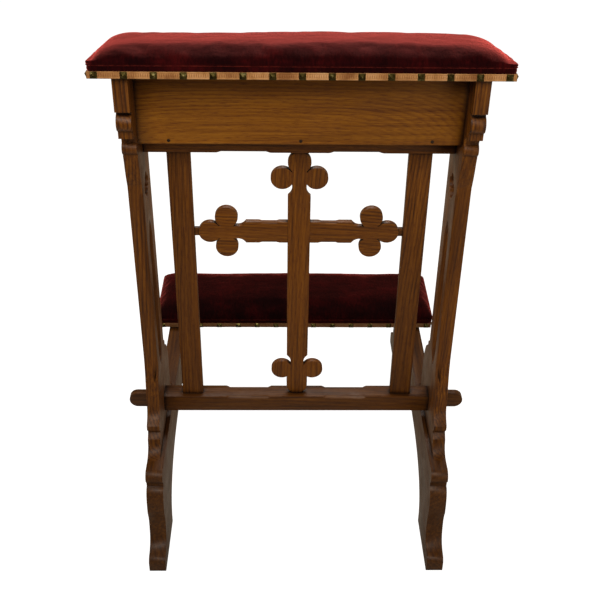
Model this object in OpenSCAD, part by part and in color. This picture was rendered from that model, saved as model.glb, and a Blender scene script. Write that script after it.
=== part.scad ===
// Kneeling bench with a pierced panel, a book box and two upholstered cushions.
// X runs across the bench, -Y faces away from the kneeling person, +Z is up.
// The origin is on the floor, under the middle of the bench.

/* [Overall] */
// Width over the outer faces of the two side frames
frame_w = 500; // [480:5:520]
// Length of each foot board, from toe to toe
foot_len = 670; // [650:5:690]
// Height of the foot boards' top edge
foot_top = 183; // [178:1:188]
// Thickness of the foot boards
foot_t = 28; // [26:1:30]
// Thickness of the uprights
upright_t = 21; // [20:1:23]
// Depth of the upright boards, front face to back face
upright_d = 87; // [84:1:90]
// Distance from the toes to the uprights' front face
toe_reach = 140; // [138:1:142]

/* [Arch under the foot boards] */
// Width of the arch at the floor
arch_w = 434; // [420:2:440]
// Height of the arch
arch_h = 108; // [100:1:112]
// Squareness of the arch's curve, 2 is an ellipse
arch_n = 2.5; // [2.2:0.1:3]

/* [Panel] */
// Section of the two rails
rail_s = 31; // [30:1:32]
// Height of the bottom rail's underside
low_rail_z = 206.7; // [206:0.1:208]
// Height of the top rail's underside
top_rail_z = 697; // [690:1:700]
// How far the bottom rail's tenons stand out of the uprights
tenon_out = 40.5; // [30:0.5:45]
// Width of the slats
slat_w = 35; // [32:1:36]
// Width of the cross's post
post_w = 35; // [33:1:37]
// Height of the cross's arms
arm_w_z = 36.6; // [34:0.2:38]
// Thickness of the slats
slat_t = 12; // [12:1:20]
// Distance of the slats' inner edges from the middle
slat_x = 162; // [160:1:165]
// Thickness of the cross
cross_t = 10; // [8:1:12]
// Radius of the cross's round lobes
lobe_r = 17.7; // [16:0.1:18]
// Distance of each lobe's centre from the middle of its trefoil
lobe_step = 25.8; // [24:0.1:27]
// Height of the cross arms' centre line
arm_z = 557.2; // [540:0.2:570]

/* [Piercings] */
// Width of the lancet slot in each upright
slot_w = 33; // [28:1:36]
// Height of the slot's lower point
slot_z0 = 305; // [300:1:320]
// Height of the slot's upper point
slot_z1 = 584; // [560:1:590]
// Height of the quatrefoil's centre
quatrefoil_z = 643; // [640:1:650]

/* [Book box] */
// Thickness of the apron board
apron_t = 12; // [10:1:14]
// Thickness of the shelf board
shelf_t = 10; // [9:1:12]

/* [Armrest] */
// Width of the armrest over its braid
arm_w = 560; // [550:2:566]
// Depth of the armrest over its braid
arm_d = 150; // [146:1:156]
// Height of the armrest board's front lower edge
arm_edge_z = 845; // [843:1:848]
// Slope of the armrest, down towards the kneeling person
arm_tilt = 8; // [6:0.5:9]
// Thickness of the armrest, board and cushion
arm_thick = 40; // [38:1:46]

/* [Kneeler] */
// Width of the kneeler over its braid
kneel_w = 547; // [535:1:555]
// Depth of the kneeler over its braid
kneel_d = 160; // [150:1:165]
// Gap from the kneeler's back edge to the feet's back ends
kneel_back = 46; // [40:1:60]
// Thickness of the kneeler, board and cushion
kneel_thick = 45; // [42:1:50]

/* [Upholstery] */
// Thickness of the cushion boards
board_t = 12; // [12:1:16]
// Thickness of the velvet
velvet_t = 1.5; // [1:0.1:2]
// Height of the braid
braid_h = 10; // [9:0.5:12]
// Thickness of the braid
braid_t = 1.5; // [1:0.1:2]
// Nails along each long edge
long_nails = 15; // [13:1:17]
// Nails along each short edge
short_nails = 4; // [3:1:5]
// Side of a square nail head
nail_head = 9.5; // [8:0.5:10]

/* [Hidden] */
$fn = 48;
eps = 0.5;

oak = [0.40, 0.25, 0.10];
oak_dark = [0.30, 0.18, 0.08];
beech = [0.62, 0.47, 0.30];
velvet_red = [0.42, 0.06, 0.09];
braid_gold = [0.80, 0.58, 0.38];
bronze = [0.42, 0.38, 0.20];
steel = [0.55, 0.55, 0.57];
hair = [0.72, 0.66, 0.55];

// Side frame
frame_x = frame_w / 2;
upright_in = frame_x - upright_t;
foot_in = frame_x - foot_t;
upright_y = toe_reach - foot_len / 2;
corbel_out = 45;
arris_leg = 6;
arris_run = 16;
arris_z0 = 305;
arris_z1 = 658;

// Panel, centred on one plane between the uprights' faces
panel_y = upright_y + 55.5;
low_rail_top = low_rail_z + rail_s;
top_rail_top = top_rail_z + rail_s + 1;
tenon_t = 12;
tenon_h = rail_s - 2;
blind_tenon = 12;
slat_mid = slat_x + slat_w / 2;
bay_mid = 83;
bay_leg = 4.5;
bay_len = 80;
arm_bay_mid = 46;
arm_leg = 2.6;
arm_bay_len = 36;
bay_run = 7;
neck_half = 11;
stub_t = 6;
stub_len = 14;
trefoil_top_z = 650;
trefoil_low_z = 288.8;
arm_trefoil_x = 112;
peg_h = 14;
peg_gap = slat_x - arm_trefoil_x - lobe_step - lobe_r;

// Book box
apron_z = top_rail_top;
housing = 5;
shelf_y0 = upright_y + apron_t;
shelf_y1 = upright_y + upright_d;
pin_x = 186;

// Cushions
arm_y = upright_y - corbel_out - 12;
kneel_y = foot_len / 2 - kneel_back - kneel_d;
skin = velvet_t + braid_t;
dome_n = 3.2;
nail_high = 3.6;
nail_r = 1;
nail_len = 8;
side_inset = 10;

// Fixings under the cushions
batten_y0 = 74;
batten_y1 = 140;
batten_board_in = 10;
batten_side_in = 25;
cleat_y0 = kneel_y + 12;
cleat_y1 = kneel_y + kneel_d - 12;
cleat_h = 20;
cleat_board_in = 20;
cleat_side_in = 45;
board_bite = 8;
upright_bite = 12;
foot_bite = 14;
countersink = 3;

// Joinery
dowel_r = 5;
dowel_len = 50;
dowel_ys = [upright_y, upright_y + 100];
batten = 18;
cleat = 18;
screw_r = 2;
screw_head_r = 4;

// Points of an arc from angle a0 to a1 about c
function arc(c, r, a0, a1, n = 8) =
    [for (i = [0:n]) c + r * [cos(a0 + (a1 - a0) * i / n), sin(a0 + (a1 - a0) * i / n)]];

// Points of a smooth bend from a to c that leans towards b
function bend(a, b, c, n = 7) =
    [for (i = [0:n]) let (t = i / n) (1 - t) * (1 - t) * a + 2 * t * (1 - t) * b + t * t * c];

function flip(points) = [for (i = [len(points) - 1:-1:0]) [-points[i][0], points[i][1]]];

// Height of the sloping plane under the armrest board
function rest_z(y) = arm_edge_z - (y - arm_y) * tan(arm_tilt);

// Extrudes an outline drawn in Y and Z from x0 to x1
module across(x0, x1) {
    translate([x0, 0, 0]) rotate([90, 0, 90]) linear_extrude(x1 - x0) children();
}

// Extrudes an outline drawn in X and Z from y0 to y1
module along(y0, y1) {
    translate([0, y1, 0]) rotate([90, 0, 0]) linear_extrude(y1 - y0) children();
}

module box(x0, x1, y0, y1, z0, z1) {
    translate([x0, y0, z0]) cube([x1 - x0, y1 - y0, z1 - z0]);
}

// Side frame -------------------------------------------------------------

// Front edge of an upright, from its top to the foot board
upright_front = concat(
    [[-45, rest_z(upright_y - 45)], [-45, 794], [-34, 791]],
    arc([-31, 775], 13, 105, 255, 12),
    [[-34, 761], [-34, 751], [-15, 748], [-12, 737]],
    arc([-9, 727], 9.5, 110, 250, 10),
    [[-12, 714]],
    bend([-10, 705], [-7, 680], [0, 662]),
    bend([0, 360], [0, 330], [-7, 304]),
    [[-8, 298], [-14, 279], [-14, 262]],
    bend([-15, 259], [-17, 246], [-31, 238]),
    [[-35, 235], [-35, 226], [-28, 220], [-28, 216], [-35, 209]],
    arc([-62, foot_top + 25], 25, 0, -90, 8));

// Back edge of an upright, from the foot board to its top
upright_back = concat(
    arc([148, foot_top + 20], 20, 270, 180, 6),
    [[128, 252]],
    bend([127, 256], [124, 292], [102, 304]),
    [[98, 307], [98, 316], [90, 320]],
    bend([90, 320], [upright_d, 322], [upright_d, 332], 4),
    [[upright_d, rest_z(upright_y + upright_d)]]);

module upright_outline() {
    translate([upright_y, 0]) polygon(concat(upright_front, upright_back));
}

// Slot with a pointed arch at each end
module lancet() {
    w = slot_w / 2;
    rise = 42;
    r = (w * w + rise * rise) / (2 * w);
    sweep = asin(rise / r);
    side = concat(arc([w - r, slot_z1 - rise], r, 0, sweep, 6),
        flip(arc([w - r, slot_z1 - rise], r, 0, sweep, 6)));
    foot = concat(arc([w - r, slot_z0 + rise], r, -sweep, 0, 6));
    polygon(concat(side, flip(foot), foot));
}

module quatrefoil() {
    for (a = [0:90:270])
        translate([0, quatrefoil_z]) rotate(a) translate([10.5, 0]) circle(r = 10.2);
    translate([0, quatrefoil_z]) square(14, center = true);
}

// Cutter of a stopped chamfer: it runs along X, the arris is on the axis and +Z points out of it
module chamfer_cut(length, leg, run) {
    depth = leg / sqrt(2);
    rotate([90, 0, 0]) linear_extrude(40, center = true)
        polygon([[-length / 2, eps], [run - length / 2, -depth], [length / 2 - run, -depth],
            [length / 2, eps]]);
}

// Stopped chamfer along the upright's inner front arris
module arris_cut() {
    translate([upright_in, upright_y, (arris_z0 + arris_z1) / 2]) rotate([0, 0, 45])
        rotate([0, -90, 0]) chamfer_cut(arris_z1 - arris_z0, arris_leg, arris_run);
}

module dowel_holes() {
    for (y = dowel_ys)
        translate([frame_x - upright_t / 2, y, foot_top - dowel_len / 2 - 1])
            cylinder(r = dowel_r, h = dowel_len + 2);
}

module upright() {
    color(oak) difference() {
        across(upright_in, frame_x) upright_outline();
        across(upright_in - eps, frame_x + eps) translate([upright_y + upright_d / 2, 0]) {
            lancet();
            quatrefoil();
        }
        arris_cut();
        box(upright_in - eps, frame_x + eps, panel_y - tenon_t / 2, panel_y + tenon_t / 2,
            low_rail_z + 1, low_rail_top - 1);
        box(upright_in - eps, upright_in + blind_tenon, panel_y - tenon_t / 2,
            panel_y + tenon_t / 2, top_rail_z + 4, top_rail_top - 4);
        box(upright_in - eps, upright_in + housing, upright_y - eps, shelf_y0, apron_z, 900);
        box(upright_in - eps, upright_in + housing, shelf_y0, shelf_y1 + eps,
            apron_z, apron_z + shelf_t);
        dowel_holes();
        batten_side_screws();
    }
}

// Front half of a foot board's outline, from the top of its nose to the arch
half_foot = concat(
    arc([58, foot_top - 13], 13, 90, 205, 8),
    [[51, 160], [51, 152]],
    bend([46, 150], [35, 142], [35, 108]),
    bend([35, 104], [42, 88], [39, 68], 5),
    bend([38, 62], [36, 36], [13, 31]),
    arc([12, 19], 12, 110, 180, 5),
    [[0, 3], [3, 0]]);

arch_curve = [for (i = [0:24]) let (a = 90 * i / 24)
    [-arch_w / 2 * pow(cos(a), 2 / arch_n), arch_h * pow(sin(a), 2 / arch_n)]];

module foot_outline() {
    front = concat([for (p = half_foot) [p[0] - foot_len / 2, p[1]]], arch_curve);
    polygon(concat(front, flip(front)));
}

module foot_board() {
    color(oak_dark) difference() {
        across(foot_in, frame_x) foot_outline();
        dowel_holes();
        cleat_side_screws();
    }
}

module foot_dowels() {
    color(beech) for (s = [-1, 1], y = dowel_ys)
        translate([s * (frame_x - upright_t / 2), y, foot_top - dowel_len / 2])
            cylinder(r = dowel_r, h = dowel_len);
}

// Panel ------------------------------------------------------------------

module rail_body(z0, z1) {
    box(-upright_in, upright_in, panel_y - rail_s / 2, panel_y + rail_s / 2, z0, z1);
}

// Stopped chamfers on the rail's arrises in the two bays beside the post, up is 1 or -1
module bay_cuts(z, up) {
    for (s = [-1, 1], side = [-1, 1])
        translate([s * bay_mid, panel_y + side * rail_s / 2, z])
            rotate([-side * (90 - up * 45), 0, 0]) chamfer_cut(bay_len, bay_leg, bay_run);
}

// Stub tenon cut on a slat or the post, reaching into a rail
module stub(x, half, z0, z1) {
    box(x - half, x + half, panel_y - stub_t / 2, panel_y + stub_t / 2, z0, z1);
}

module rail_sockets(z0, z1) {
    stub(-slat_mid, 12, z0, z1);
    stub(slat_mid, 12, z0, z1);
    stub(0, 9, z0, z1);
}

module bottom_rail() {
    color(oak) difference() {
        union() {
            rail_body(low_rail_z, low_rail_top);
            along(panel_y - tenon_t / 2, panel_y + tenon_t / 2) {
                translate([-upright_in - eps, low_rail_z + 1])
                    square([2 * (upright_in + eps), tenon_h]);
                for (s = [-1, 1]) translate([s * (frame_x + tenon_out - tenon_h / 2), 0]) {
                    translate([0, low_rail_z + rail_s / 2]) circle(d = tenon_h);
                    translate([s > 0 ? -60 : 0, low_rail_z + 1]) square([60, tenon_h]);
                }
            }
        }
        rail_sockets(low_rail_top - stub_len, low_rail_top + eps);
        bay_cuts(low_rail_top, 1);
    }
}

module top_rail() {
    color(oak) difference() {
        union() {
            rail_body(top_rail_z, top_rail_top);
            box(-upright_in - blind_tenon, upright_in + blind_tenon, panel_y - tenon_t / 2,
                panel_y + tenon_t / 2, top_rail_z + 4, top_rail_top - 4);
        }
        rail_sockets(top_rail_z - eps, top_rail_z + stub_len);
        bay_cuts(top_rail_z, -1);
    }
}

module slat() {
    color(oak) difference() {
        union() {
            box(slat_x, slat_x + slat_w, panel_y - slat_t / 2, panel_y + slat_t / 2,
                low_rail_top, top_rail_z);
            stub(slat_mid, 12, low_rail_top - stub_len, low_rail_top + eps);
            stub(slat_mid, 12, top_rail_z - eps, top_rail_z + stub_len);
        }
        arm_peg();
    }
}

// Trefoil drawn about its own middle, with its stem pointing down
module trefoil() {
    for (p = [[-lobe_step, 0], [lobe_step, 0], [0, lobe_step]]) translate(p) circle(r = lobe_r);
    square([2 * neck_half, 2 * lobe_r], center = true);
}

// Stem that narrows to a neck below a trefoil: its half width is w, and its length is
// measured down from the trefoil's middle
module stem(length, w) {
    right = concat([[neck_half, 0]],
        bend([neck_half, -19], [neck_half + 1, -26], [w, -30], 5),
        [[w, -length]]);
    polygon(concat(right, flip(right)));
}

module cross_post() {
    mid = (trefoil_top_z + trefoil_low_z) / 2;
    w = post_w / 2;
    color(oak) difference() {
        union() {
            along(panel_y - cross_t / 2, panel_y + cross_t / 2) difference() {
                union() {
                    translate([0, trefoil_top_z]) {
                        trefoil();
                        stem(trefoil_top_z - mid, w);
                    }
                    translate([0, trefoil_low_z]) rotate(180) {
                        trefoil();
                        stem(mid - trefoil_low_z, w);
                    }
                    translate([0, low_rail_top + w]) circle(r = w);
                    translate([-w, low_rail_top + w]) square([2 * w, trefoil_low_z - low_rail_top - w]);
                }
                translate([-60, low_rail_top - 60]) square([120, 60]);
                translate([-60, top_rail_z]) square([120, 60]);
            }
            stub(0, 9, low_rail_top - stub_len, low_rail_top + 4);
            stub(0, 9, top_rail_z - 4, top_rail_z + stub_len);
        }
        for (s = [-1, 1]) arm_stub(s);
    }
}

// Stub tenon that joins an arm to the post
module arm_stub(s) {
    w = post_w / 2;
    box(min(s * (w - 8), s * (w + eps)), max(s * (w - 8), s * (w + eps)),
        panel_y - 2, panel_y + 2, arm_z - 11, arm_z + 11);
}

module cross_arm() {
    color(oak) difference() {
        union() {
            along(panel_y - cross_t / 2, panel_y + cross_t / 2)
                translate([arm_trefoil_x, arm_z]) rotate(-90) {
                    trefoil();
                    stem(arm_trefoil_x - post_w / 2, arm_w_z / 2);
                }
            arm_stub(1);
        }
        arm_peg();
        for (up = [-1, 1], side = [-1, 1])
            translate([arm_bay_mid, panel_y + side * cross_t / 2, arm_z + up * arm_w_z / 2])
                rotate([-side * (90 - up * 45), 0, 0])
                    chamfer_cut(arm_bay_len, arm_leg, bay_run);
    }
}

// Small flat peg that ties an arm's end to its slat
module arm_peg() {
    box(slat_x - peg_gap - 7, slat_x + 7, panel_y - stub_t / 2, panel_y + stub_t / 2,
        arm_z - peg_h / 2, arm_z + peg_h / 2);
}

module arm_pegs() {
    color(oak_dark) for (s = [0, 1]) mirror([s, 0, 0]) arm_peg();
}

// Book box ---------------------------------------------------------------

module front_apron() {
    w = upright_in + housing;
    color(oak) difference() {
        across(-w, w) polygon([[upright_y, apron_z], [upright_y + apron_t, apron_z],
            [upright_y + apron_t, rest_z(upright_y + apron_t)], [upright_y, rest_z(upright_y)]]);
        pins();
    }
}

module book_shelf() {
    w = upright_in + housing;
    color(oak) difference() {
        box(-w, w, shelf_y0, shelf_y1, apron_z, apron_z + shelf_t);
        pins();
    }
}

module pins() {
    for (x = [-pin_x, 0, pin_x])
        translate([x, upright_y - 0.6, apron_z + shelf_t / 2]) rotate([-90, 0, 0]) {
            cylinder(r = 1, h = 26);
            cylinder(r = 2.2, h = 1.2);
        }
}

module apron_pins() {
    color(steel) pins();
}

// Fixings of the cushions ------------------------------------------------

// Places children in the frame of the tilted armrest, from its front lower edge
module on_rest() {
    translate([0, arm_y, arm_edge_z]) rotate([-arm_tilt, 0, 0]) children();
}

// Countersunk wood screw along +Z, head at the origin
module screw(length) {
    cylinder(r = screw_r, h = length);
    cylinder(r1 = screw_head_r, r2 = screw_r, h = countersink);
}

module batten_board_screws() {
    for (y = [batten_y0 + batten_board_in, batten_y1 - batten_board_in])
        on_rest() translate([upright_in - batten / 2, y, -batten]) screw(batten + board_bite);
}

module batten_side_screws() {
    for (y = [batten_y0 + batten_side_in, batten_y1 - batten_side_in])
        on_rest() translate([upright_in - batten, y, -batten / 2]) rotate([0, 90, 0])
            screw(batten + upright_bite);
}

module armrest_batten() {
    color(beech) difference() {
        on_rest() box(upright_in - batten, upright_in, batten_y0, batten_y1, -batten, 0);
        batten_board_screws();
        batten_side_screws();
    }
}

module armrest_screws() {
    color(steel) for (s = [0, 1]) mirror([s, 0, 0]) {
        batten_board_screws();
        batten_side_screws();
    }
}

module cleat_board_screws() {
    for (y = [cleat_y0 + cleat_board_in, cleat_y1 - cleat_board_in])
        translate([foot_in - cleat / 2, y, foot_top - cleat_h]) screw(cleat_h + board_bite);
}

module cleat_side_screws() {
    for (y = [cleat_y0 + cleat_side_in, cleat_y1 - cleat_side_in])
        translate([foot_in - cleat, y, foot_top - cleat_h / 2]) rotate([0, 90, 0])
            screw(cleat + foot_bite);
}

module kneeler_cleat() {
    color(beech) difference() {
        box(foot_in - cleat, foot_in, cleat_y0, cleat_y1, foot_top - cleat_h, foot_top);
        cleat_board_screws();
        cleat_side_screws();
    }
}

module kneeler_screws() {
    color(steel) for (s = [0, 1]) mirror([s, 0, 0]) {
        cleat_board_screws();
        cleat_side_screws();
    }
}

// Cushions ---------------------------------------------------------------
// Each is drawn with its front lower edge on the X axis.

// Domed outline, d wide and h high, standing on base z0
function dome(d, z0, h, wide) = [for (i = [0:28]) let (
        a = 180 * i / 28,
        c = cos(a),
        x = d / 2 * (c < 0 ? -1 : 1) * pow(abs(c), 2 / dome_n))
    [x + (c < 0 ? -wide : c > 0 ? wide : 0), z0 + h * pow(sin(a), 2 / dome_n)]];

// Soft block over a w by d board: both sections are domes with a flat base
module soft_block(w, d, z0, z1, spring_z) {
    intersection() {
        along(0, d) polygon(concat(dome(d, spring_z, z1 - spring_z, (w - d) / 2),
            [[-w / 2, z0], [w / 2, z0]]));
        across(-w / 2, w / 2) translate([d / 2, 0])
            polygon(concat(dome(d, spring_z, z1 - spring_z, 0), [[-d / 2, z0], [d / 2, z0]]));
    }
}

module nail_places(w, d) {
    pitch = (w - 20) / (long_nails - 1);
    side_pitch = (d - 2 * side_inset) / (short_nails - 1);
    for (i = [0:long_nails - 1]) {
        translate([-w / 2 + 10 + i * pitch, 0, braid_h / 2]) rotate([90, 0, 0]) children();
        translate([-w / 2 + 10 + i * pitch, d, braid_h / 2]) rotate([-90, 0, 0]) children();
    }
    for (i = [0:short_nails - 1]) {
        translate([-w / 2, side_inset + i * side_pitch, braid_h / 2]) rotate([0, -90, 0]) children();
        translate([w / 2, side_inset + i * side_pitch, braid_h / 2]) rotate([0, 90, 0]) children();
    }
}

// Square pyramid head on a round shank, head side along +Z
module nail() {
    h = nail_head / 2;
    polyhedron(
        points = [[-h, -h, 0], [h, -h, 0], [h, h, 0], [-h, h, 0], [0, 0, nail_high]],
        faces = [[0, 1, 2, 3], [0, 4, 1], [1, 4, 2], [2, 4, 3], [3, 4, 0]]);
}

module shank() {
    translate([0, 0, -nail_len]) cylinder(r = nail_r, h = nail_len, $fn = 16);
}

module cushion_board(w, d) {
    difference() {
        box(-w / 2 + skin, w / 2 - skin, skin, d - skin, 0, board_t);
        nail_places(w, d) shank();
    }
}

module cushion_padding(w, d, h) {
    inner_w = w - 2 * skin;
    inner_d = d - 2 * skin;
    translate([0, skin, 0])
        soft_block(inner_w, inner_d, board_t, h - velvet_t, board_t + 2);
}

module cushion_velvet(w, d, h) {
    outer_w = w - 2 * braid_t;
    outer_d = d - 2 * braid_t;
    difference() {
        translate([0, braid_t, 0]) soft_block(outer_w, outer_d, 0, h, board_t);
        translate([0, skin, 0]) soft_block(w - 2 * skin, d - 2 * skin, -eps, h - velvet_t, board_t + 2);
        nail_places(w, d) shank();
    }
}

module cushion_braid(w, d) {
    difference() {
        box(-w / 2, w / 2, 0, d, 0, braid_h);
        box(-w / 2 + braid_t, w / 2 - braid_t, braid_t, d - braid_t, -eps, braid_h + eps);
        nail_places(w, d) shank();
    }
}

module cushion_nails(w, d) {
    nail_places(w, d) union() {
        nail();
        shank();
    }
}

module on_feet() {
    translate([0, kneel_y, foot_top]) children();
}

module armrest_board() {
    color(beech) difference() {
        on_rest() cushion_board(arm_w, arm_d);
        for (s = [0, 1]) mirror([s, 0, 0]) batten_board_screws();
    }
}

module armrest_padding() {
    color(hair) on_rest() cushion_padding(arm_w, arm_d, arm_thick);
}

module armrest_velvet() {
    color(velvet_red) on_rest() cushion_velvet(arm_w, arm_d, arm_thick);
}

module armrest_braid() {
    color(braid_gold) on_rest() cushion_braid(arm_w, arm_d);
}

module armrest_nails() {
    color(bronze) on_rest() cushion_nails(arm_w, arm_d);
}

module kneeler_board() {
    color(beech) difference() {
        on_feet() cushion_board(kneel_w, kneel_d);
        for (s = [0, 1]) mirror([s, 0, 0]) cleat_board_screws();
    }
}

module kneeler_padding() {
    color(hair) on_feet() cushion_padding(kneel_w, kneel_d, kneel_thick);
}

module kneeler_velvet() {
    color(velvet_red) on_feet() cushion_velvet(kneel_w, kneel_d, kneel_thick);
}

module kneeler_braid() {
    color(braid_gold) on_feet() cushion_braid(kneel_w, kneel_d);
}

module kneeler_nails() {
    color(bronze) on_feet() cushion_nails(kneel_w, kneel_d);
}

mirror([1, 0, 0]) upright();  // left_upright
upright();  // right_upright
mirror([1, 0, 0]) foot_board();  // left_foot_board
foot_board();  // right_foot_board
foot_dowels();
bottom_rail();
top_rail();
mirror([1, 0, 0]) slat();  // left_slat
slat();  // right_slat
cross_post();
mirror([1, 0, 0]) cross_arm();  // left_cross_arm
cross_arm();  // right_cross_arm
arm_pegs();
front_apron();
book_shelf();
apron_pins();
mirror([1, 0, 0]) armrest_batten();  // left_armrest_batten
armrest_batten();  // right_armrest_batten
armrest_screws();
armrest_board();
armrest_padding();
armrest_velvet();
armrest_braid();
armrest_nails();
mirror([1, 0, 0]) kneeler_cleat();  // left_kneeler_cleat
kneeler_cleat();  // right_kneeler_cleat
kneeler_screws();
kneeler_board();
kneeler_padding();
kneeler_velvet();
kneeler_braid();
kneeler_nails();
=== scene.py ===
"""Looks of the kneeling bench: waxed oak, velvet cushions, braid and nails round the fixed CAD frame."""

import math
import random
from collections import namedtuple

import bmesh
import bpy
import numpy as np
from mathutils import Euler, Matrix, Vector


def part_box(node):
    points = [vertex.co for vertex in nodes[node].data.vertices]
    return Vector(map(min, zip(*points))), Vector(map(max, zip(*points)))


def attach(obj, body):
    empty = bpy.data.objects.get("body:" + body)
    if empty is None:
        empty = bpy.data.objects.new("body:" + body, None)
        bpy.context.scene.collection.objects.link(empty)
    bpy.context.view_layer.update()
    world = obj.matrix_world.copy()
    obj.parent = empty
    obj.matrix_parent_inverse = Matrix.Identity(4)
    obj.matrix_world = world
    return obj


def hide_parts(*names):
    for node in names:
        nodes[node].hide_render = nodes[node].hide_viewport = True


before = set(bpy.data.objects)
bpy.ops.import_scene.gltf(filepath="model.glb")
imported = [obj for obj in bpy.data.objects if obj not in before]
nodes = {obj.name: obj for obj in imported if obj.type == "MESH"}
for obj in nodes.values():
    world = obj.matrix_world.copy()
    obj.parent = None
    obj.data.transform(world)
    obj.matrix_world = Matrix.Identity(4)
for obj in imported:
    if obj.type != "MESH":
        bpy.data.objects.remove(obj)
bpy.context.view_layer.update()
scene = bpy.context.scene
MM = 0.001


# ---------------------------------------------------------------- camera, light and floor

# Angles in degrees, place in metres, lens and sensor in millimetres.
PITCH, YAW, ROLL = 33.63, 1.29, 0.87
CAMERA_PLACE = (-0.026, -1.453, 1.302)
LENS, SENSOR = 57.96, 36


def camera():
    """Looks down at the bench's front from a little left of its middle."""
    data = bpy.data.cameras.new("camera")
    data.sensor_width, data.lens = SENSOR, LENS
    cam = bpy.data.objects.new("camera", data)
    scene.collection.objects.link(cam)
    cam.matrix_world = (Matrix.Translation(CAMERA_PLACE)
                        @ Matrix.Rotation(math.radians(-YAW), 4, "Z")
                        @ Matrix.Rotation(math.radians(90 - PITCH), 4, "X")
                        @ Matrix.Rotation(math.radians(ROLL), 4, "Z"))
    scene.camera = cam


# The light of the room round the bench, where the camera sees white.
WARM = (1.0, 0.80, 0.52)
WHITE = (1.0, 1.0, 1.0)
WALL_GLOW = 0.055

# Name, place, the point it faces, width and height in metres, watts, and colour.
SOFTBOXES = (
    ("key", (-0.3, -1.45, 1.9), (0, -0.15, 0.65), (1.2, 0.8), 24, (1.0, 0.93, 0.83)),
    ("fill", (1.3, -1.6, 0.9), (-0.2, -0.1, 0.4), (1.0, 0.8), 6, (1.0, 0.92, 0.80)),
    ("back", (0.1, 0.7, 1.4), (0, -0.15, 0.88), (0.9, 0.3), 8, (1.0, 0.94, 0.87)),
    ("side", (-2.2, 0.3, 1.1), (0, 0, 0.4), (1.6, 1.4), 10, (1.0, 0.87, 0.68)),
    ("side", (2.2, 0.3, 1.1), (0, 0, 0.4), (1.6, 1.4), 10, (1.0, 0.87, 0.68)),
)


def softbox(name, place, target, size, power, tint):
    data = bpy.data.lights.new(name, "AREA")
    data.shape, data.size, data.size_y = "RECTANGLE", size[0], size[1]
    data.energy, data.color = power, tint
    light = bpy.data.objects.new(name, data)
    scene.collection.objects.link(light)
    light.location = place
    light.rotation_euler = (Vector(target) - Vector(place)).to_track_quat("-Z", "Y").to_euler()


def seen_or_felt(tree, felt, kind):
    """A glow that the camera sees as white and that lights the object with a dimmer, warmer one.
    felt is its strength on the object: a number or a socket."""
    mix = tree.nodes.new("ShaderNodeMixShader")
    path = tree.nodes.new("ShaderNodeLightPath")
    tree.links.new(path.outputs["Is Camera Ray"], mix.inputs[0])
    for socket, strength, tint in ((1, felt, WARM), (2, 1.0, WHITE)):
        glow = tree.nodes.new(kind)
        if isinstance(strength, bpy.types.NodeSocket):
            tree.links.new(strength, glow.inputs["Strength"])
        else:
            glow.inputs["Strength"].default_value = strength
        glow.inputs["Color"].default_value = (*tint, 1)
        tree.links.new(glow.outputs[0], mix.inputs[socket])
    return mix.outputs[0]


def studio():
    """White all round to the eye, with dim walls, and large softboxes above and beside the bench."""
    world = bpy.data.worlds.new("room")
    world.use_nodes = True
    tree = world.node_tree
    tree.links.new(seen_or_felt(tree, WALL_GLOW, "ShaderNodeBackground"),
                   tree.nodes["World Output"].inputs["Surface"])
    scene.world = world
    scene.view_settings.view_transform = "Standard"
    for box in SOFTBOXES:
        softbox(*box)


# The floor's half width, and how strongly it glows on the bench between two places along y.
FLOOR_HALF = 12
FLOOR_GLOW = {"From Min": -1.2, "To Min": 0.02, "From Max": 0.6, "To Max": 0.31}
FLOOR_GREY = 0.35


def floor():
    """White sweep. Its far half glows softly, as a lit paper roll does, and its near half is dim."""
    mesh = bpy.data.meshes.new("floor")
    corners = [(x * FLOOR_HALF, y * FLOOR_HALF, 0) for x, y in ((-1, -1), (1, -1), (1, 1), (-1, 1))]
    mesh.from_pydata(corners, [], [(0, 1, 2, 3)])
    obj = bpy.data.objects.new("floor", mesh)
    scene.collection.objects.link(obj)
    mat = bpy.data.materials.new("floor")
    mat.use_nodes = True
    tree = mat.node_tree
    place = tree.nodes.new("ShaderNodeSeparateXYZ")
    tree.links.new(tree.nodes.new("ShaderNodeTexCoord").outputs["Object"], place.inputs[0])
    near_to_far = tree.nodes.new("ShaderNodeMapRange")
    tree.links.new(place.outputs["Y"], near_to_far.inputs["Value"])
    for socket, value in FLOOR_GLOW.items():
        near_to_far.inputs[socket].default_value = value
    both = tree.nodes.new("ShaderNodeAddShader")
    tree.links.new(seen_or_felt(tree, near_to_far.outputs[0], "ShaderNodeEmission"), both.inputs[0])
    shader = tree.nodes["Principled BSDF"]
    shader.inputs["Base Color"].default_value = (FLOOR_GREY, FLOOR_GREY, FLOOR_GREY, 1)
    shader.inputs["Roughness"].default_value = 1.0
    shader.inputs["Specular IOR Level"].default_value = 0.0
    tree.links.new(shader.outputs[0], both.inputs[1])
    tree.links.new(both.outputs[0], tree.nodes["Material Output"].inputs["Surface"])
    mesh.materials.append(mat)


# ---------------------------------------------------------------- material building blocks

# The Mix node's sockets for colours. Its other A, B and Result sockets hold numbers and vectors.
MIX_A, MIX_B, MIX_RESULT = 6, 7, 2


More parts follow.
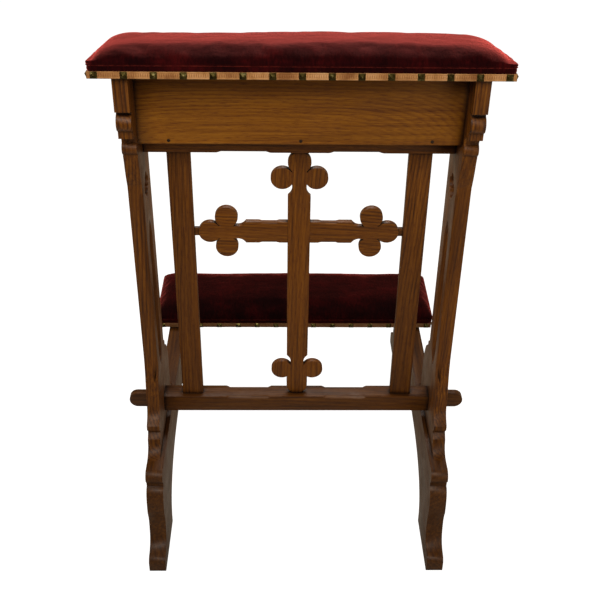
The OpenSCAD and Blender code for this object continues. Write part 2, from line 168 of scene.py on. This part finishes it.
class Shader:
    """A Principled material and short calls that add nodes to it."""

    def __init__(self, name, **constants):
        self.mat = bpy.data.materials.new(name)
        self.mat.use_nodes = True
        self.tree = self.mat.node_tree
        self.bsdf = self.tree.nodes["Principled BSDF"]
        for socket, value in constants.items():
            self.bsdf.inputs[socket.replace("_", " ")].default_value = value

    def node(self, kind, inputs=None, **settings):
        n = self.tree.nodes.new("ShaderNode" + kind)
        for key, value in settings.items():
            setattr(n, key, value)
        for key, value in (inputs or {}).items():
            self.put(n.inputs[key], value)
        return n

    def put(self, socket, value):
        if isinstance(value, bpy.types.NodeSocket):
            self.tree.links.new(value, socket)
        else:
            socket.default_value = value

    def coords(self, rotation=(0, 0, 0), offset=(0, 0, 0)):
        """Row-frame position in metres, turned and then moved."""
        place = self.node("TexCoord").outputs["Object"]
        turned = self.node("Mapping", {"Vector": place, "Location": offset, "Rotation": rotation})
        return self.stretch(turned.outputs[0], (1, 1, 1))

    def stretch(self, vector, scale):
        return self.node("Mapping", {"Vector": vector, "Scale": scale}).outputs[0]

    def noise(self, vector, scale, detail=2.0, roughness=0.5):
        return self.node("TexNoise", {"Vector": vector, "Scale": scale, "Detail": detail,
                                      "Roughness": roughness}).outputs["Fac"]

    def ramp(self, fac, *stops):
        """Colour or grey against fac. Each stop is its place and a colour or a number."""
        n = self.node("ValToRGB", {"Fac": fac})
        points = n.color_ramp.elements
        while len(points) < len(stops):
            points.new(0.5)
        for point, (place, colour) in zip(points, stops):
            point.position = place
            point.color = colour if isinstance(colour, tuple) else (colour, colour, colour, 1)
        return n.outputs["Color"]

    def mix(self, a, b, fac=1.0, blend="MIX"):
        n = self.node("Mix", data_type="RGBA", blend_type=blend)
        self.put(n.inputs["Factor"], fac)
        self.put(n.inputs[MIX_A], a)
        self.put(n.inputs[MIX_B], b)
        return n.outputs[MIX_RESULT]

    def math(self, kind, a, b=0.0, clamp=False):
        n = self.node("Math", operation=kind, use_clamp=clamp)
        self.put(n.inputs[0], a)
        self.put(n.inputs[1], b)
        return n.outputs[0]

    def bump(self, height, distance, strength=1.0, under=None):
        n = self.node("Bump", {"Height": height, "Distance": distance, "Strength": strength})
        if under is not None:
            self.put(n.inputs["Normal"], under)
        return n.outputs["Normal"]

    def attribute(self, name):
        return self.node("Attribute", attribute_name=name).outputs["Fac"]

    def finish(self, **links):
        for socket, value in links.items():
            self.put(self.bsdf.inputs[socket.replace("_", " ")], value)
        return self.mat


def rgb(r, g, b):
    """Linear colour from screen values 0 to 255."""
    def linear(v):
        v /= 255
        return v / 12.92 if v <= 0.04045 else ((v + 0.055) / 1.055) ** 2.4
    return linear(r), linear(g), linear(b), 1.0


# ---------------------------------------------------------------- oak

# Turns the grain's direction onto x.
GRAIN_TURN = {"X": (0, 0, 0), "Y": (0, 0, math.radians(-90)), "Z": (0, math.radians(90), 0)}

# Repeats per metre of each pattern in the wood, along the grain and across it. waver and uneven push
# the rings about, and strength is where the rings show.
PATTERNS = {"waver": (2.6, 16), "uneven": (1.2, 110), "strength": (1.6, 30), "streaks": (6, 240),
            "pores": (70, 1300), "clouds": (1.8, 12)}
WAVER_DEPTH = 11 * MM
UNEVEN_DEPTH = 7 * MM
RING_MEAN, STREAK_MEAN, TINT_MEAN = 0.62, 0.5, 0.52
STREAK_STRENGTH = 1.6
PORE_SHADE = (0.62, 0.50, 0.42, 1)
PORE_RELIEF, STREAK_RELIEF, GRAIN_DEPTH = 0.5, 0.8, 0.2 * MM
WAX_PATCHES = 26.0

# Painted shade in corners, joints and crevices, with some grime in them: how far it reaches out of them,
# its colour, and how open a place is where it's full.
CORNER_SHADE_AND_GRIME = ((50 * MM, (0.34, 0.28, 0.24, 1), 0.25), (8 * MM, (0.16, 0.13, 0.11, 1), 0.5))
CORNER_SHADE_FADE = 0.4
# The height below which the wood's colour is darkest, and the height where that darkening ends.
DARKEST_BELOW, DARKENING_ENDS = 0.06, 0.34

# How a piece was sawn from the log. pith is how far the log's middle lies behind and beside the
# piece's own, in metres. It bends away from apex by bow and leans by slope. spacing is the ring
# spacing in millimetres, and rings is their strength. The last field scales the colour near the
# floor: 1 leaves it as it is, and less makes it darker.
Cut = namedtuple("Cut", "pith apex bow slope spacing rings dirt",
                 defaults=((0.03, 0.05), 0.0, 0.15, 0.06, 5.0, 0.45, 0.62))


def oak(name, grain, tone, seed, cut=Cut()):
    """Waxed oak with its grain along one axis. tone is (dark, mid, light) screen colours."""
    rnd = random.Random(seed)
    s = Shader("oak_" + name, IOR=1.36, Coat_Weight=0.05, Coat_Roughness=0.3)
    lo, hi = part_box(name)
    turn = Euler(GRAIN_TURN[grain]).to_matrix()
    wood = s.coords(GRAIN_TURN[grain], -(turn @ ((lo + hi) / 2)))

    along = s.node("SeparateXYZ", {"Vector": wood})
    drift = s.math("SUBTRACT", along.outputs["X"], cut.apex + rnd.uniform(-0.02, 0.02))
    behind = s.math("MULTIPLY", s.math("MULTIPLY", drift, drift), cut.bow)
    side = s.math("ADD", s.math("ADD", along.outputs["Y"], cut.pith[0]), behind)
    beside = s.math("ADD", along.outputs["Z"], cut.pith[1] + rnd.uniform(0, 0.005))
    height = s.math("ADD", beside, s.math("MULTIPLY", along.outputs["X"], cut.slope))
    squares = s.math("ADD", s.math("MULTIPLY", side, side), s.math("MULTIPLY", height, height))
    radius = s.math("SQRT", squares)
    moved = s.coords(GRAIN_TURN[grain], (rnd.uniform(-3, 3), rnd.uniform(-3, 3), 0))

    def pattern(kind, detail=2.0, roughness=0.5):
        lengthwise, across = PATTERNS[kind]
        return s.noise(s.stretch(moved, (lengthwise, across, across)), 1.0, detail, roughness)

    radius = s.math("ADD", radius, s.math("MULTIPLY", pattern("waver", 3.0), WAVER_DEPTH))
    radius = s.math("ADD", radius, s.math("MULTIPLY", pattern("uneven"), UNEVEN_DEPTH))
    phase = s.math("FRACT", s.math("MULTIPLY", radius, 1 / (cut.spacing * MM)))
    growth = s.ramp(phase, (0.0, 0.1), (0.2, 0.0), (0.42, 0.7), (0.8, 1.0), (1.0, 0.6))
    strength = s.math("MULTIPLY", s.ramp(pattern("strength"), (0.38, 0.3), (0.62, 1.0)), cut.rings)
    ringed = s.math("MULTIPLY", s.math("SUBTRACT", growth, RING_MEAN), strength)
    streaks = pattern("streaks", 5.0, 0.7)
    streaked = s.math("MULTIPLY", s.math("SUBTRACT", streaks, STREAK_MEAN), STREAK_STRENGTH)
    tint = s.math("ADD", s.math("ADD", ringed, streaked), TINT_MEAN, clamp=True)

    dark, mid, light = (rgb(*c) for c in tone)
    colour = s.ramp(tint, (0.08, dark), (TINT_MEAN, mid), (0.95, light))
    clouds = s.ramp(pattern("clouds", 3.0, 0.55), (0.3, 0.78), (0.7, 1.12))
    colour = s.mix(colour, clouds, 0.8, "MULTIPLY")
    pores = s.ramp(pattern("pores", 2.0, 0.6), (0.36, 0.0), (0.47, 1.0))
    colour = s.mix(s.mix(colour, PORE_SHADE, 1.0, "MULTIPLY"), colour, pores)

    # Ambient occlusion darkens the colour in corners and joints: painted shade, with some grime.
    for reach, shade_and_grime, full in CORNER_SHADE_AND_GRIME:
        crevice = s.node("AmbientOcclusion", {"Distance": reach}, samples=6).outputs["AO"]
        unshaded = s.ramp(crevice, (full, 0.0), (full + CORNER_SHADE_FADE, 1.0))
        colour = s.mix(s.mix(colour, shade_and_grime, 1.0, "MULTIPLY"), colour, unshaded)
    # The colour is made darker towards the floor.
    above_floor = s.node("SeparateXYZ", {"Vector": s.node("TexCoord").outputs["Object"]}).outputs["Z"]
    darker_low = s.ramp(above_floor, (DARKEST_BELOW, cut.dirt), (DARKENING_ENDS, 1.0))
    colour = s.mix(colour, darker_low, 1.0, "MULTIPLY")

    relief = s.math("ADD", s.math("MULTIPLY", pores, PORE_RELIEF),
                    s.math("MULTIPLY", streaks, STREAK_RELIEF))
    dull = s.ramp(s.noise(moved, WAX_PATCHES, 4.0, 0.6), (0.3, 0.42), (0.7, 0.60))
    return s.finish(Base_Color=colour, Roughness=dull, Normal=s.bump(relief, GRAIN_DEPTH, 0.6))


# Dark, mid and light screen colours of each kind of board.
TONES = {
    "apron": ((92, 47, 3), (131, 79, 9), (154, 100, 22)),
    "upright": ((54, 25, 2), (103, 57, 5), (138, 84, 15)),
    "panel": ((70, 36, 3), (112, 63, 6), (139, 85, 15)),
    "slat": ((60, 30, 3), (101, 56, 6), (130, 79, 15)),
    "foot": ((52, 25, 2), (92, 51, 6), (124, 76, 15)),
    "bare": ((132, 96, 56), (170, 132, 86), (196, 160, 112)),
}

ARCHED = Cut(pith=(0.012, 0.05), apex=-0.05, bow=0.9, slope=0.0, spacing=5.5, rings=0.26)
PLAIN = Cut(spacing=8.0, rings=0.2)
DARKER_NEAR_FLOOR = Cut(dirt=0.4)

# Grain direction, tone and cut.
OAK_PIECES = {
    "left_upright": ("Z", "upright", DARKER_NEAR_FLOOR),
    "right_upright": ("Z", "upright", DARKER_NEAR_FLOOR),
    "left_foot_board": ("Y", "foot", PLAIN),
    "right_foot_board": ("Y", "foot", PLAIN),
    "bottom_rail": ("X", "foot", PLAIN),
    "top_rail": ("X", "upright", PLAIN),
    "left_slat": ("Z", "slat", Cut()),
    "right_slat": ("Z", "slat", Cut()),
    "cross_post": ("Z", "panel", Cut()),
    "left_cross_arm": ("X", "panel", Cut()),
    "right_cross_arm": ("X", "panel", Cut()),
    "arm_pegs": ("X", "foot", Cut()),
    "front_apron": ("X", "apron", ARCHED),
    "book_shelf": ("X", "upright", Cut()),
}

# Bare boards, battens, cleats and dowels, which are out of sight from the front, and their grain.
BARE_PIECES = {
    "armrest_board": "X",
    "kneeler_board": "X",
    "left_armrest_batten": "Y",
    "right_armrest_batten": "Y",
    "left_kneeler_cleat": "Y",
    "right_kneeler_cleat": "Y",
    "foot_dowels": "Z",
}
BARE_SEED = 100

# Bevel on the arrises of show wood, of bare wood, of the nails and of pins and screws.
SHOW_ARRIS, BARE_ARRIS, NAIL_ARRIS, PIN_ARRIS = 1.0 * MM, 0.6 * MM, 0.35 * MM, 0.15 * MM
WELD_REACH = 0.01 * MM
FLAT_WITHIN, SHARP_OVER = math.radians(0.5), math.radians(38)
BEVEL_SEGMENTS = 3


def soften_edges(obj, width):
    """Rounds a piece's arrises: the modifiers leave its CAD mesh as it is."""
    weld = obj.modifiers.new("weld", "WELD")
    weld.merge_threshold = WELD_REACH
    flat = obj.modifiers.new("flat", "DECIMATE")
    flat.decimate_type, flat.angle_limit = "DISSOLVE", FLAT_WITHIN
    bevel = obj.modifiers.new("bevel", "BEVEL")
    bevel.width, bevel.segments = width, BEVEL_SEGMENTS
    bevel.limit_method, bevel.angle_limit = "ANGLE", SHARP_OVER
    bevel.harden_normals, bevel.use_clamp_overlap = True, True
    for polygon in obj.data.polygons:
        polygon.use_smooth = True


def dress(name, mat, arris):
    """Gives a CAD node its material and soft arrises."""
    nodes[name].data.materials.clear()
    nodes[name].data.materials.append(mat)
    soften_edges(nodes[name], arris)


def dress_oak():
    for seed, (name, (grain, tone, cut)) in enumerate(OAK_PIECES.items()):
        dress(name, oak(name, grain, TONES[tone], seed, cut), SHOW_ARRIS)
    for seed, (name, grain) in enumerate(BARE_PIECES.items(), BARE_SEED):
        dress(name, oak(name, grain, TONES["bare"], seed), BARE_ARRIS)


# ---------------------------------------------------------------- cushions

BRAID_HEIGHT = 10 * MM
REST_TILT = math.radians(8)

# How a cushion is stuffed, in metres. high is its crown over the braid's lower edge. lips and slopes
# are for the left and the right end: how far in the slope starts, and how long it is. side is the
# slope at the front and the back. fullest is where the stuffing is thickest, and drawn is how far the
# rear corners are pulled down. wider is its width past the braid's. The field after wider is 1 on the
# armrest and less on the kneeler, where it weakens the sheen and darkens the base colour as painted
# shade.
Pad = namedtuple("Pad", "high lips slopes side fullest drawn wider nap seed")
ARMREST = Pad(high=38.5 * MM, lips=(0.008, 0.011), slopes=(0.035, 0.047), side=0.034, fullest=0.09,
              drawn=0.6, wider=1 * MM, nap=1.0, seed=3)
KNEELER = Pad(high=44 * MM, lips=(0.0, 0.0), slopes=(0.034, 0.034), side=0.034, fullest=0.0,
              drawn=0.0, wider=4 * MM, nap=0.6, seed=8)

# Side of the velvet from its crown's edge down to its tacked hem: height and how far it stands in,
# in mm. The hem is folded under a fine ridge just over the braid. RIDGE is that ridge's rows.
VELVET_SIDE = ((20.4, -0.9), (19.2, 0.3), (18.5, 0.5), (18.0, -0.7), (17.3, -0.7), (16.8, 0.7),
               (15.8, 0.7), (13.5, 0.1), (11.2, 0.4), (9.8, 1.2), (8.0, 1.6))
RIDGE = (3, 5)
BOARD_TOP = 12.3
VELVET_LINING = ((8.0, 2.9), (BOARD_TOP, 2.9))
HEM = 12 * MM
CROWN_FOOT = 22.5 * MM
CORNER = 9 * MM

# The pad's grid: its squares, the width of finer rows at its ends, and those rows' places as angles
# up a quarter round.
PAD_STEP = 4.8 * MM
PAD_END = 20 * MM
FINE_ROWS = np.radians(np.arange(12, 91, 13))

# The crown: how round its ends and sides are, the share of its height that it takes right at the
# ends within EDGE, its fall towards the ends and sides, its unevenness, and the fuller part's height
# and reach.
END_ROUND, SIDE_ROUND, EDGE_ROUND = 1.7, 2.1, 2.0
EDGE, EDGE_SHARE = 9 * MM, 0.1
FALL_TO_ENDS, FALL_TO_SIDES = 0.10, 0.16
LUMP_HEIGHT, LUMP_WAVES, LUMP_LENGTHS = 0.4 * MM, 9, (0.07, 0.22)
FULLER_HEIGHT, FULLER_REACH = 2.2 * MM, 0.13
# How far in from the ends the rear corners are pulled down.
DRAWN_REACH = 70 * MM


def board_frame(braid, tilt):
    """A cushion's own frame, its width and its depth. The origin is the braid's front lower edge."""
    lo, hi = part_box(braid)
    depth = (hi.y - lo.y - BRAID_HEIGHT * math.sin(tilt)) / math.cos(tilt)
    corner = Vector((0, lo.y, hi.z - BRAID_HEIGHT * math.cos(tilt)))
    return Matrix.Translation(corner) @ Matrix.Rotation(-tilt, 4, "X"), hi.x - lo.x, depth


def spread(half, soft, step):
    """Places across a pad from -half to half, closer together towards its soft edges."""
    flat = half - soft
    inner = np.linspace(-flat, flat, 2 * round(flat / step) + 1)
    outer = flat + soft * np.sin(FINE_ROWS)
    return np.concatenate([-outer[::-1], inner, outer])


def swell(edge, soft, power):
    """Height of a rounded edge, 0 at the edge and 1 past the soft zone."""
    return (1 - (1 - np.clip(edge / soft, 0, 1)) ** power) ** (1 / power)


def round_corners(x, y, half_w, half_d, r):
    """Pulls a rectangular grid's corners in to arcs of radius r."""
    u = np.clip((np.abs(x) - (half_w - r)) / r, 0, 1)
    v = np.clip((np.abs(y) - (half_d - r)) / r, 0, 1)
    both = (u > 0) & (v > 0)
    new_x = np.sign(x) * (half_w - r + r * u * np.sqrt(1 - v * v / 2))
    new_y = np.sign(y) * (half_d - r + r * v * np.sqrt(1 - u * u / 2))
    return np.where(both, new_x, x), np.where(both, new_y, y)


def lumps(x, y, seed):
    """Slow uneven waves, as a stuffed pad has, between about -1 and 1."""
    rnd = random.Random(seed)
    total = np.zeros_like(x)
    for _ in range(LUMP_WAVES):
        length, turn, start = rnd.uniform(*LUMP_LENGTHS), rnd.uniform(0, math.pi), rnd.uniform(0, 6.28)
        total += np.sin(2 * math.pi * (x * math.cos(turn) + y * math.sin(turn)) / length + start)
    return total / 4


def drawn_down(x, y, half_w, half_d, most):
    """Share of its height that the velvet's side keeps where it is pulled down over the rear corners."""
    end = np.clip(1 - (half_w - np.abs(x)) / DRAWN_REACH, 0, 1)
    rear = np.clip((y + half_d) / (2 * half_d), 0, 1)
    return 1 - most * end * end * rear


def crown(x, y, half_w, half_d, pad):
    """Height of the pad's top at a place on it."""
    spring = HEM + (CROWN_FOOT - HEM) * drawn_down(x, y, half_w, half_d, pad.drawn)
    lip, slope = np.where(x < 0, *pad.lips), np.where(x < 0, *pad.slopes)
    ends = swell(half_w - lip - np.abs(x), slope, END_ROUND)
    edge = swell(half_w - np.abs(x), EDGE, EDGE_ROUND)
    sides = swell(half_d - np.abs(y), pad.side, SIDE_ROUND)
    rise = (EDGE_SHARE * edge + (1 - EDGE_SHARE) * ends) * sides
    dome = 1 - FALL_TO_ENDS * (x / half_w) ** 2 - FALL_TO_SIDES * (y / half_d) ** 2
    uneven = LUMP_HEIGHT * lumps(x, y, pad.seed)
    fuller = FULLER_HEIGHT * np.exp(-((x - pad.fullest) / FULLER_REACH) ** 2)
    return spring + rise * ((pad.high - spring) * dome + uneven + fuller)


def pad_mesh(name, width, depth, pad):
    """Velvet as one closed form: crowned top, ridged side, hem, and a flat underside over the board."""
    half_w, half_d = width / 2, depth / 2
    xs, ys = spread(half_w, PAD_END, PAD_STEP), spread(half_d, pad.side, PAD_STEP)
    nx, ny = len(xs), len(ys)
    x, y = (a.ravel() for a in np.meshgrid(xs, ys))
    z = crown(x, y, half_w, half_d, pad)
    x, y = round_corners(x, y, half_w, half_d, CORNER)
    kept = drawn_down(x, y, half_w, half_d, pad.drawn)

    points = list(zip(x, y + half_d, z))
    top = [(j * nx + i, j * nx + i + 1, (j + 1) * nx + i + 1, (j + 1) * nx + i)
           for j in range(ny - 1) for i in range(nx - 1)]
    faces = list(top)
    rim = (list(range(nx)) + [j * nx + nx - 1 for j in range(1, ny)]
           + [(ny - 1) * nx + i for i in range(nx - 2, -1, -1)] + [j * nx for j in range(ny - 2, 0, -1)])
    n = len(rim)
    above = rim
    for height, inset in VELVET_SIDE + VELVET_LINING:
        in_x, in_y = x * (1 - inset * MM / half_w), half_d + y * (1 - inset * MM / half_d)
        level = np.minimum(height * MM, HEM + (height * MM - HEM) * kept)
        ring = range(len(points), len(points) + n)
        points += [(in_x[i], in_y[i], level[i]) for i in rim]
        faces += [(above[k], ring[k], ring[(k + 1) % n], above[(k + 1) % n]) for k in range(n)]
        above = ring

    # The underside repeats the top's grid, drawn in like the lining's last row.
    under = dict(zip(rim, above))
    for i in range(nx * ny):
        if i not in under:
            under[i] = len(points)
            points.append((in_x[i], in_y[i], BOARD_TOP * MM))
    faces += [tuple(under[i] for i in face) for face in top]

    mesh = bpy.data.meshes.new(name)
    mesh.from_pydata(points, [], faces)
    bm = bmesh.new()
    bm.from_mesh(mesh)
    bmesh.ops.recalc_face_normals(bm, faces=bm.faces)
    bm.to_mesh(mesh)
    bm.free()
    mesh.shade_smooth()
    # Marks the ridge's rows, where the velvet gets a painted highlight.
    ridge_highlight = mesh.attributes.new("ridge_highlight", "FLOAT", "POINT")
    ridge = range(nx * ny + RIDGE[0] * n, nx * ny + RIDGE[1] * n)
    ridge_highlight.data.foreach_set("value", [float(i in ridge) for i in range(len(points))])
    obj = bpy.data.objects.new(name, mesh)
    scene.collection.objects.link(obj)
    # All but the crown is tacked down and stays as it is while the crown is stuffed.
    held = obj.vertex_groups.new(name="held")
    held.add(rim + list(range(nx * ny, len(points))), 1.0, "REPLACE")
    return obj


# Settings of the cloth, which has a little more length than its frame, and is blown up from inside.
FABRIC = {"quality": 6, "mass": 0.35, "tension_stiffness": 30, "compression_stiffness": 8,
          "shear_stiffness": 12, "bending_stiffness": 0.6, "vertex_group_mass": "held",
          "use_pressure": True, "uniform_pressure_force": 2.2, "shrink_min": -0.012}
STUFFING_STEPS = 24
MOST_STUFFING = 2.5 * MM


def stuff(obj):
    """Blows the velvet up against its tacked hem, and limits how far any point moves."""
    before = np.array([v.co for v in obj.data.vertices])
    cloth = obj.modifiers.new("stuffing", "CLOTH")
    for key, value in FABRIC.items():
        setattr(cloth.settings, key, value)
    cloth.settings.effector_weights.gravity = 0
    cloth.collision_settings.use_collision = False
    cloth.point_cache.frame_start, cloth.point_cache.frame_end = 1, STUFFING_STEPS
    for step in range(1, STUFFING_STEPS + 1):
        scene.frame_set(step)
    shown = obj.evaluated_get(bpy.context.evaluated_depsgraph_get()).to_mesh()
    move = np.array([v.co for v in shown.vertices]) - before
    obj.modifiers.remove(cloth)
    scene.frame_set(1)
    far = np.linalg.norm(move, axis=1, keepdims=True)
    move *= np.minimum(1, MOST_STUFFING * np.tanh(far / MOST_STUFFING) / np.maximum(far, 1e-9))
    obj.data.vertices.foreach_set("co", (before + move).ravel())
    obj.data.update()


# The pile's patterns, in repeats per metre: broad strokes, brush lines across the pad, tufts, and
# patches of painted highlight along its ridge.
STROKES, BRUSHED, TUFTS, RIDGE_HIGHLIGHT_PATCHES = (16, 24, 24), (280, 80, 80), 1500.0, 190.0
STROKE_DEPTH, BRUSHED_DEPTH, TUFT_DEPTH = 3.5 * MM, 1.2 * MM, 0.5 * MM
BRUSHED_SHARE = 0.55


def velvet(seed, nap):
    """Dark red cut pile. The pile's lie shows as soft lighter and darker strokes along the pad: bumps
    that the sheen answers, and the same strokes put into the base colour as painted sheen.
    """
    s = Shader("velvet_%d" % seed, Roughness=0.85, IOR=1.3, Specular_IOR_Level=0.1,
               Sheen_Weight=nap, Sheen_Roughness=0.36, Sheen_Tint=(1.0, 0.145, 0.13, 1))
    place = s.coords(offset=(seed, 0, 0))
    strokes = s.noise(s.stretch(place, STROKES), 1.0, 3.0, 0.55)
    fine = s.noise(s.stretch(place, BRUSHED), 1.0, 4.0, 0.65)
    pile = s.noise(place, TUFTS, 1.0)
    lie_painted_sheen = s.math("ADD", strokes, s.math("MULTIPLY", s.math("SUBTRACT", fine, 0.5), BRUSHED_SHARE))
    # The base colour is lighter where the pile's strokes are: painted sheen.
    colour = s.ramp(lie_painted_sheen, (0.36, rgb(22, 1, 3)), (0.52, rgb(38, 3, 5)), (0.68, rgb(60, 7, 9)))
    # The second argument, which also sets the sheen's weight, scales the base colour: below 1 that is
    # painted shade, as on the kneeler.
    colour = s.mix(colour, s.ramp(pile, (0.3, 0.75 * nap), (0.7, 1.1 * nap)), 1.0, "MULTIPLY")
    # Lighter red in patches along the ridge: a painted highlight where the ridge catches the light.
    highlight_patches = s.ramp(s.noise(place, RIDGE_HIGHLIGHT_PATCHES, 3.0, 0.6), (0.42, 0.02), (0.6, 0.2))
    colour = s.mix(colour, rgb(150, 56, 40), s.math("MULTIPLY", s.attribute("ridge_highlight"), highlight_patches))
    brushed = s.bump(fine, BRUSHED_DEPTH, 0.6, s.bump(strokes, STROKE_DEPTH, 0.7))
    return s.finish(Base_Color=colour, Normal=s.bump(pile, TUFT_DEPTH, 0.5, brushed))


def cushion(part, tilt, pad):
    """One soft pad in the place of a cushion's velvet and padding."""
    place, width, depth = board_frame(part + "_braid", tilt)
    obj = pad_mesh(part + "_cushion", width + pad.wider, depth, pad)
    stuff(obj)
    obj.data.transform(place)
    smooth = obj.modifiers.new("smooth", "SUBSURF")
    smooth.levels, smooth.render_levels = 1, 1
    obj.data.materials.append(velvet(pad.seed, pad.nap))
    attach(obj, "root")
    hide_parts(part + "_velvet", part + "_padding")


# ---------------------------------------------------------------- braid and nails

def outline(width, depth, r, step):
    """Evenly spaced places round a rectangle with rounded corners, each with its outward direction,
    and the length all round."""
    spots = []
    straight_x, straight_y, bend = width - 2 * r, depth - 2 * r, math.pi * r / 2
    sides = ((straight_x, 0), (straight_y, 90), (straight_x, 180), (straight_y, 270))
    start = Vector((-width / 2 + r, 0))
    length = 2 * (straight_x + straight_y) + 4 * bend
    count = round(length / step)
    for k in range(count):
        run = k * length / count
        here = start.copy()
        for straight, turn in sides:
            along = Vector((math.cos(math.radians(turn)), math.sin(math.radians(turn))))
            out = Vector((along.y, -along.x))
            if run <= straight:
                spots.append((here + along * run, out))
                break
            here += along * straight
            run -= straight
            if run <= bend:
                swing = math.radians(turn) + run / r
                direction = Vector((math.sin(swing), -math.cos(swing)))
                spots.append((here - out * r + direction * r, direction))
                break
            here += (along - out) * r
            run -= bend
    return spots, length


BRAID_CORNER = 1.6 * MM
BRAID_STEP = 0.6 * MM
BRAID_BACK = 1.45 * MM
CORD_PITCH = 2.4 * MM
RIB_PITCH = 3.0 * MM
# Height up the braid in mm and what runs there: a twisted cord at each edge and ribs between them.
BRAID_ROWS = ((0.2, "edge"), (0.7, "cord"), (1.3, "cord"), (1.9, "cord"), (2.4, "edge"), (3.2, "rib"),
              (4.2, "rib"), (5.0, "stitch"), (5.8, "rib"), (6.8, "rib"), (7.6, "edge"), (8.1, "cord"),
              (8.7, "cord"), (9.3, "cord"), (9.8, "edge"))
# How far the face stands out from the CAD braid's in mm: at the gaps, and the middle and the swing of
# cords and ribs. A stitch shows between two ribs, and its mark fades as the rib rises.
GAP_STANDS, CORD_STANDS, RIB_STANDS = -0.85, (-0.22, 0.2), (-0.72, 0.5)
GAP_MARK, CORD_MARK, RIB_MARK = 0.15, 0.1, 0.75
STITCH_FADE = 1.5
# How light each braid's thread is: 1 for the armrest's, and less for the kneeler's, whose straw is
# darkened as painted shade.
FULLY_LIT, IN_ARMREST_SHADE = 1.0, 0.4
# Patterns in the thread, the bronze and the iron, in repeats per metre.
AGEING, THREADS, PATINA, RUST = 28.0, 1500.0, 160.0, 400.0


def braid_face(kind, run, height):
    """How far the braid's face stands out, and how much of a stitch shows, at a place along it.
    run is in metres and height in millimetres."""
    if kind == "edge":
        return GAP_STANDS * MM, GAP_MARK
    if kind == "cord":
        twist = math.sin(2 * math.pi * (run + height * MM) / CORD_PITCH)
        return (CORD_STANDS[0] + CORD_STANDS[1] * twist) * MM, CORD_MARK * (1 - twist)
    rib = abs(math.sin(math.pi * run / RIB_PITCH))
    mark = max(0.0, 1 - STITCH_FADE * rib)
    return (RIB_STANDS[0] + RIB_STANDS[1] * rib) * MM, mark * (1.0 if kind == "stitch" else RIB_MARK)


def braid_thread(seed, lit_share):
    """Straw-coloured thread with dark red stitches where the mesh marks them."""
    s = Shader("braid_%d" % seed, Roughness=0.7, Specular_IOR_Level=0.25, Sheen_Weight=0.25,
               Sheen_Roughness=0.4)
    where = s.coords()
    aged = s.noise(where, AGEING, 3.0, 0.6)
    thread = s.noise(s.stretch(where, (1, 1, 2)), THREADS, 2.0)
    straw = s.ramp(aged, (0.35, rgb(146, 98, 50)), (0.5, rgb(190, 138, 82)), (0.68, rgb(214, 164, 112)))
    # The last argument darkens the straw: below 1 it is painted shade, as on the kneeler's braid.
    straw = s.mix(straw, s.ramp(thread, (0.3, 0.7 * lit_share), (0.7, 1.1 * lit_share)), 1.0, "MULTIPLY")
    colour = s.mix(straw, rgb(112, 40, 22), s.math("MULTIPLY", s.attribute("stitch"), 0.9))
    return s.finish(Base_Color=colour, Normal=s.bump(thread, 0.2 * MM, 0.5))


def braid_piece(node, tilt, seed, lit_share):
    """The woven braid round a cushion's board."""
    place, width, depth = board_frame(node, tilt)
    spots, length = outline(width, depth, BRAID_CORNER, BRAID_STEP)
    count, rows = len(spots), len(BRAID_ROWS) + 2
    bottom, top = BRAID_ROWS[0][0], BRAID_ROWS[-1][0]
    points, marks, faces = [], [], []
    for k, (spot, out) in enumerate(spots):
        run = k * length / count
        for height, kind in BRAID_ROWS:
            stand, mark = braid_face(kind, run, height)
            points.append((spot.x + out.x * stand, spot.y + out.y * stand, height * MM))
            marks.append(mark)
        for height in (top, bottom):
            points.append((spot.x - out.x * BRAID_BACK, spot.y - out.y * BRAID_BACK, height * MM))
            marks.append(0.0)
    for k in range(count):
        near, far = k * rows, (k + 1) % count * rows
        faces += [(near + j, far + j, far + (j + 1) % rows, near + (j + 1) % rows) for j in range(rows)]
    mesh = bpy.data.meshes.new(node + "_woven")
    mesh.from_pydata(points, [], faces)
    mesh.transform(place)
    mesh.shade_smooth()
    mesh.attributes.new("stitch", "FLOAT", "POINT").data.foreach_set("value", marks)
    mesh.materials.append(braid_thread(seed, lit_share))
    obj = bpy.data.objects.new(node + "_woven", mesh)
    scene.collection.objects.link(obj)
    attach(obj, "root")
    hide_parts(node)


def bronze():
    """Old cast bronze: olive-brown with bright rubbed high spots."""
    s = Shader("bronze", Metallic=1.0)
    patina = s.noise(s.coords(), PATINA, 4.0, 0.65)
    colour = s.ramp(patina, (0.34, rgb(44, 36, 15)), (0.56, rgb(84, 75, 38)), (0.74, rgb(158, 148, 98)))
    rough = s.ramp(patina, (0.3, 0.6), (0.75, 0.3))
    return s.finish(Base_Color=colour, Roughness=rough, Normal=s.bump(patina, 0.3 * MM, 0.5))


def iron():
    """Dark iron with brown rust in patches."""
    s = Shader("iron", Metallic=0.6)
    rust = s.noise(s.coords(), RUST, 3.0, 0.6)
    colour = s.ramp(rust, (0.35, rgb(26, 18, 12)), (0.7, rgb(62, 44, 32)))
    return s.finish(Base_Color=colour, Roughness=s.ramp(rust, (0.3, 0.45), (0.7, 0.75)))


def dress_metal():
    for names, mat, arris in ((("armrest_nails", "kneeler_nails"), bronze(), NAIL_ARRIS),
                              (("apron_pins", "armrest_screws", "kneeler_screws"), iron(), PIN_ARRIS)):
        for name in names:
            dress(name, mat, arris)


camera()
studio()
floor()
dress_oak()
dress_metal()
cushion("armrest", REST_TILT, ARMREST)
cushion("kneeler", 0.0, KNEELER)
braid_piece("armrest_braid", REST_TILT, 1, FULLY_LIT)
braid_piece("kneeler_braid", 0.0, 2, IN_ARMREST_SHADE)
